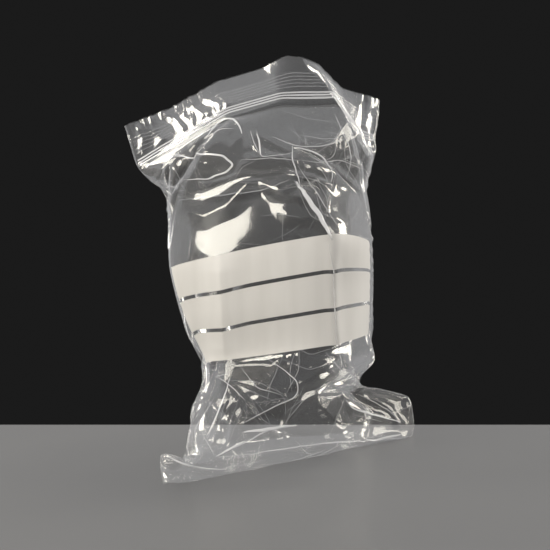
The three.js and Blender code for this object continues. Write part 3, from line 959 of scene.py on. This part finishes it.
def zip_tracks(film, material):
    """The shut zip seen through the film: three bars on the front of the band and two on the back."""
    bars = [bar_across(film, ZIP_MARGIN, BELOW_ZIP + offset, *sizes) for offset, *sizes in ZIP_BARS]
    return bars_object("zip_tracks", bars, material)


def lip_ribs(film, material):
    """The grip ribs across the lip."""
    heights = [BELOW_ZIP + FIRST_RIB + i * RIB_PITCH for i in range(RIB_COUNT)]
    bars = [bar_across(film, RIB_MARGIN, height, RIB_LIFT, *RIB_HALF_SIZE) for height in heights]
    return bars_object("lip_ribs", bars, material)


def seal_beads(film, material):
    """The melted edge of each side seal."""
    bars = []
    for column in (0, -1):
        path = film.front[:, column]
        up = film.front_out[:, column]
        bars.append(tube(path, up, SEAL_BEAD_HALF_SIZE, SEAL_BEAD_HALF_SIZE))
    return bars_object("seal_beads", bars, material)


def crease_path(grid, side, line):
    """Where a crease runs on the flat bag, as across and height, by looking for its pixels on the wall."""
    ends = np.array(line, float)
    run = np.concatenate([[0], np.cumsum(np.hypot(*np.diff(ends, axis=0).T))])
    at = np.arange(0, run[-1], PATH_STEP)
    if len(at) < LEAST_PATH_POINTS:
        return None
    wanted = np.stack([np.interp(at, run, ends[:, k]) for k in range(2)], axis=1)
    x, y = pixels_of(grid)
    hidden = (outward(grid, side) @ TOWARDS_CAMERA * side < LEAST_FACING) * HIDDEN_COST
    found = []
    for wanted_x, wanted_y in wanted:
        away = (x - wanted_x) ** 2 + (y - wanted_y) ** 2 + hidden
        place = np.unravel_index(np.argmin(away), away.shape)
        if away[place] >= FARTHEST_PIXEL ** 2:
            continue
        if found and max(abs(place[0] - found[-1][0]), abs(place[1] - found[-1][1])) >= LONGEST_JUMP:
            continue
        found.append(place)
    if len(found) < LEAST_PATH_POINTS:
        return None
    path = np.array(found, float)
    for _ in range(PATH_ROUNDS):
        path[1:-1] = (path[:-2] + path[2:] + 2 * path[1:-1]) / 4
    across = path[:, 1] / (grid.shape[1] - 1) * FLAT_WIDTH
    heights = path[:, 0] / (grid.shape[0] - 1) * FLAT_HEIGHT
    return across, heights


def hard_folds(film, material):
    """Narrow milky bands along the hardest folds: partly whitened film and partly a painted highlight along
    each fold.
    """
    bars = []
    for half_width, line in HARD_FOLDS:
        places = crease_path(film.front, 1, line)
        if places is None:
            continue
        arch = np.sin(np.linspace(0, np.pi, len(places[0])))
        taper = FOLD_END + (1 - FOLD_END) * arch ** FOLD_BLUNTNESS
        up = film.sample(film.front_out, *places)
        path = film.front_at(*places, FOLD_LIFT)
        bars.append(tube(path, up, half_width * taper, FOLD_THICKNESS * half_width * taper, FOLD_SIDES))
    return bars_object("hard_folds", bars, material)


def crease_lines(film, material):
    """The hard line along each narrow crease: a milky bar, partly where the film whitens and partly a painted
    highlight along the crease.
    """
    walls = {"front": (film.front, film.front_out, 1), "back": (film.back, film.back_out, -1)}
    bars = []
    for creases, thickness in ((CREASES, LINE_THICKNESS), (crumples(CRUMPLES), CRUMPLE_THICKNESS)):
        for name, half_width, height, line in creases:
            if half_width >= WIDEST_LINED_CREASE:
                continue
            grid, out, side = walls[name]
            places = crease_path(grid, side, line)
            if places is None or places[1].max() > HIGHEST_LINE:
                continue
            arch = np.sin(np.linspace(0, np.pi, len(places[0])))
            taper = LINE_END + (1 - LINE_END) * arch
            path = film.sample(grid, *places)
            up = film.sample(out, *places)
            size = min(thickness * height, THICKEST_LINE) * taper
            bars.append(tube(path, up, size, size, LINE_SIDES))
    return bars_object("crease_lines", bars, material)


def softbox(name, direction, width, height, watts):
    """A plain oval area lamp that looks at the bag."""
    lamp = bpy.data.lights.new(name, "AREA")
    lamp.shape = "ELLIPSE"
    lamp.size = width
    lamp.size_y = height
    lamp.energy = watts
    lamp.color = LAMP_COLOUR
    right, above, nearer = direction
    way = np.array([right, 0, 0]) + above * CAMERA_UP + nearer * TOWARDS_CAMERA
    way /= np.linalg.norm(way)
    target = in_frame(CAMERA_TARGET)
    piece = bpy.data.objects.new(name, lamp)
    piece.location = target + way * LAMP_DISTANCE
    piece.rotation_euler = Vector(way).to_track_quat("Z", "Y").to_euler()
    bpy.context.scene.collection.objects.link(piece)


def table_top():
    """A plain grey table with a far edge close behind the bag."""
    mesh = bpy.data.meshes.new("table_top")
    corners = [
        (-TABLE_HALF_WIDTH, TABLE_NEAR, 0),
        (TABLE_HALF_WIDTH, TABLE_NEAR, 0),
        (TABLE_HALF_WIDTH, TABLE_FAR, 0),
        (-TABLE_HALF_WIDTH, TABLE_FAR, 0),
    ]
    mesh.from_pydata(in_frame(np.array(corners)).tolist(), [], [(0, 1, 2, 3)])
    material, nodes, links = new_material("table_grey")
    surface = add_node(nodes, "ShaderNodeBsdfPrincipled", {
        "Base Color": (0.168, 0.168, 0.171, 1),
        "Roughness": 0.36,
        "Specular IOR Level": 0.4,
    })
    output = add_node(nodes, "ShaderNodeOutputMaterial")
    links.new(surface.outputs[0], output.inputs["Surface"])
    mesh.materials.append(material)
    table = bpy.data.objects.new("table_top", mesh)
    bpy.context.scene.collection.objects.link(table)


def dark_room():
    """A world that lights the bag evenly and looks dark to the camera."""
    world = bpy.data.worlds.new("dark_room")
    world.use_nodes = True
    bpy.context.scene.world = world
    nodes, links = world.node_tree.nodes, world.node_tree.links
    nodes.clear()
    rays = add_node(nodes, "ShaderNodeLightPath")
    around = add_node(nodes, "ShaderNodeBackground", {"Color": (0.5, 0.5, 0.51, 1)})
    behind = add_node(nodes, "ShaderNodeBackground", {"Color": (0.0108, 0.0108, 0.0108, 1)})
    mix = add_node(nodes, "ShaderNodeMixShader")
    output = add_node(nodes, "ShaderNodeOutputWorld")
    links.new(rays.outputs["Is Camera Ray"], mix.inputs["Fac"])
    links.new(around.outputs[0], mix.inputs[1])
    links.new(behind.outputs[0], mix.inputs[2])
    links.new(mix.outputs[0], output.inputs["Surface"])


def camera():
    """The photograph's camera."""
    data = bpy.data.cameras.new("camera")
    data.sensor_width = SENSOR_WIDTH
    seen_width = PHOTO_SIZE / PIXELS_PER_MM
    data.lens = data.sensor_width * CAMERA_DISTANCE / seen_width
    piece = bpy.data.objects.new("camera", data)
    piece.location = in_frame(CAMERA_TARGET + TOWARDS_CAMERA * CAMERA_DISTANCE)
    piece.rotation_euler = Vector(TOWARDS_CAMERA).to_track_quat("Z", "Y").to_euler()
    bpy.context.scene.collection.objects.link(piece)
    bpy.context.scene.camera = piece


def build():
    """The bag's pieces, then the table, the room, the lamps and the camera."""
    film = Film(*settled_film())
    film_plastic = clear_plastic("clear_film", haze=0.016, roughness=0.11, mirror=1.5)
    rib_plastic = clear_plastic("clear_ribs", haze=0.06, roughness=0.12, mirror=1.5)
    # The bars' milky haze is the zip's own milky plastic, and on the crease lines partly a painted highlight.
    bar_plastic_and_painted_highlight = clear_plastic("clear_bars_and_painted_highlight", haze=0.38, roughness=0.12, mirror=1.5)
    # The folds' milky haze is partly film whitened at a hard fold and partly a painted highlight along it.
    fold_plastic_painted_highlight = clear_plastic("milky_folds_painted_highlight", haze=0.62, roughness=0.14, mirror=1.5)
    ink = white_ink()
    walls = bag_walls(film, film_plastic)
    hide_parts("bag_film")
    names = ("write_panel_bottom", "write_panel_middle", "write_panel_top")
    lows = [LOWEST_PANEL + i * (PANEL_HEIGHT + PANEL_GAP) for i in range(len(names))]
    on_film = [write_panel(name, low, film, ink) for name, low in zip(names, lows)]
    on_film += [zip_tracks(film, bar_plastic_and_painted_highlight), lip_ribs(film, rib_plastic), seal_beads(film, rib_plastic)]
    on_film += [crease_lines(film, bar_plastic_and_painted_highlight), hard_folds(film, fold_plastic_painted_highlight)]
    table_top()
    dark_room()
    for lamp in LAMPS:
        softbox(*lamp)
    camera()
    bpy.context.scene.view_settings.view_transform = "Standard"


build()
